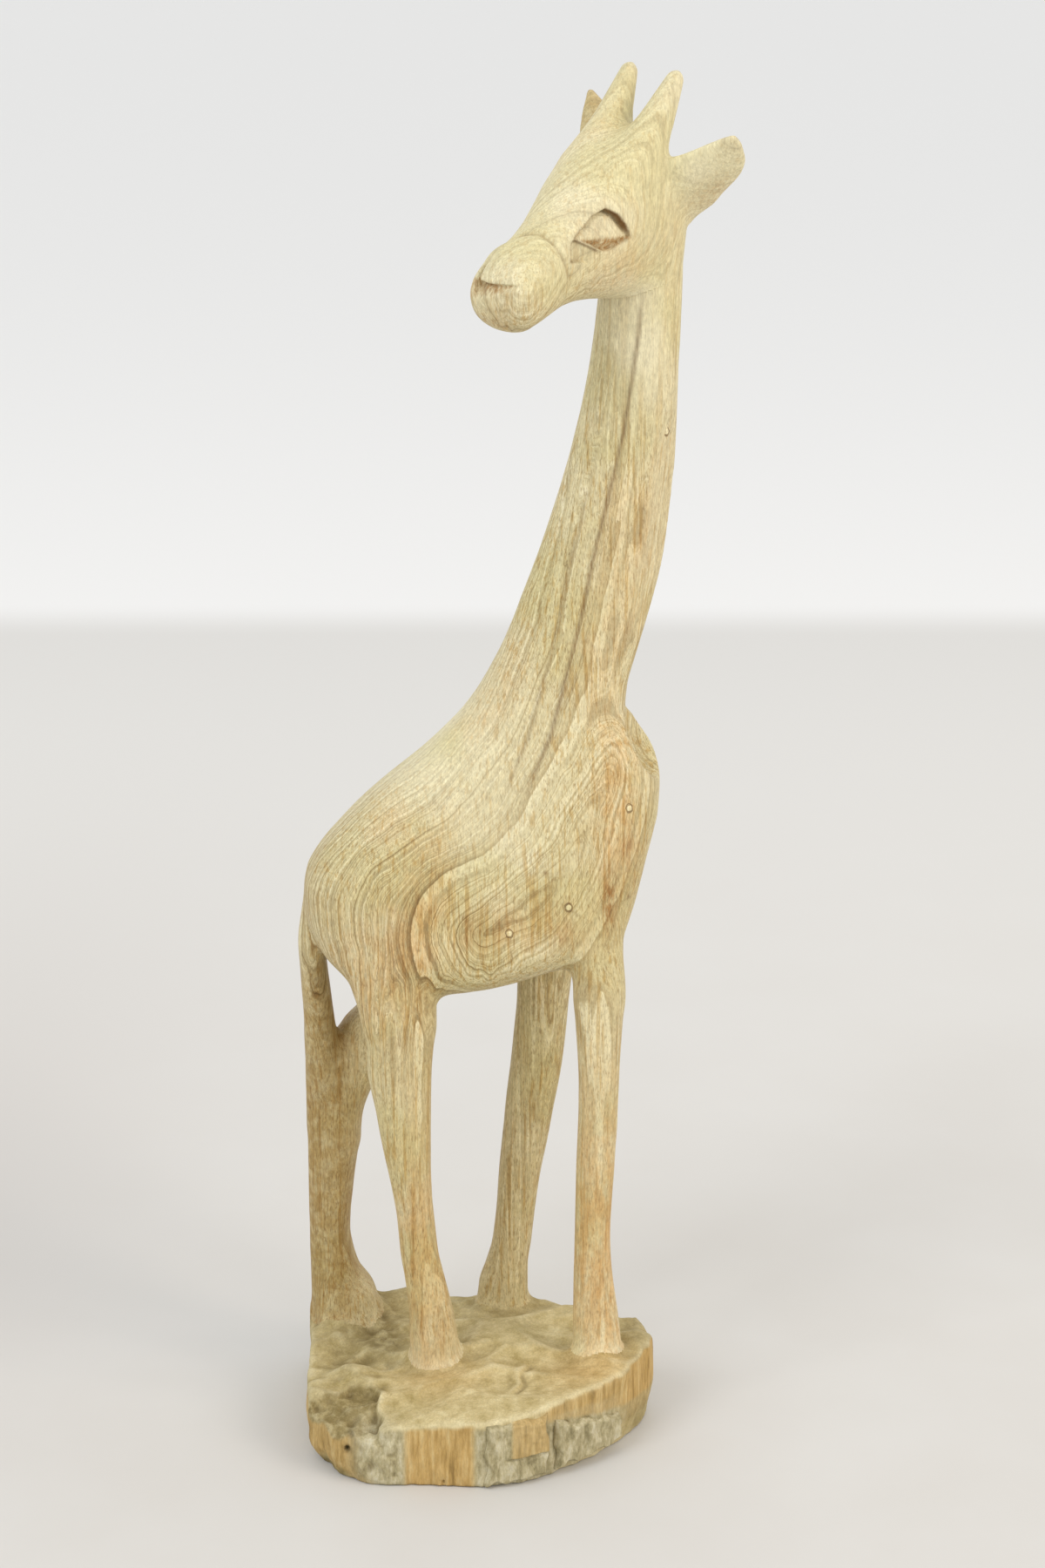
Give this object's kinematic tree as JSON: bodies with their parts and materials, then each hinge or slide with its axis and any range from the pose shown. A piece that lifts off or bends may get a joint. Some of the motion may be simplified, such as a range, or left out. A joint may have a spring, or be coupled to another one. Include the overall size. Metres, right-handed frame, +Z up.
{
  "type": "carved giraffe statue",
  "caption": "Hand carved standing giraffe in pale hardwood, on a rough base left from the same billet, head turned to its right.",
  "frame": {"origin": "middle of the base's underside", "axes": "+Z up, +X the way the animal's body faces, +Y towards its left side"},
  "size_m": [0.0945, 0.0641, 0.2985],
  "materials": {
    "sanded_wood": "sanded, waxed, satin",
    "rough_sapwood": "rough chisel cut, matte",
    "bark": "weathered grey bark, matte",
    "filler": "hard filler, matte"
  },
  "bodies": {
    "root": {"base_block": "rough_sapwood", "bark_front": "bark", "bark_right": "bark", "torso": "sanded_wood", "neck": "sanded_wood", "head": "sanded_wood", "left_ear": "sanded_wood", "right_ear": "sanded_wood", "left_horn": "sanded_wood", "right_horn": "sanded_wood", "left_front_leg": "sanded_wood", "right_front_leg": "sanded_wood", "left_hind_leg": "sanded_wood", "right_hind_leg": "sanded_wood", "tail": "sanded_wood", "plug_shoulder": "filler", "plug_ribs": "filler", "plug_belly": "filler", "plug_neck": "filler"}
  },
  "joints": []
}
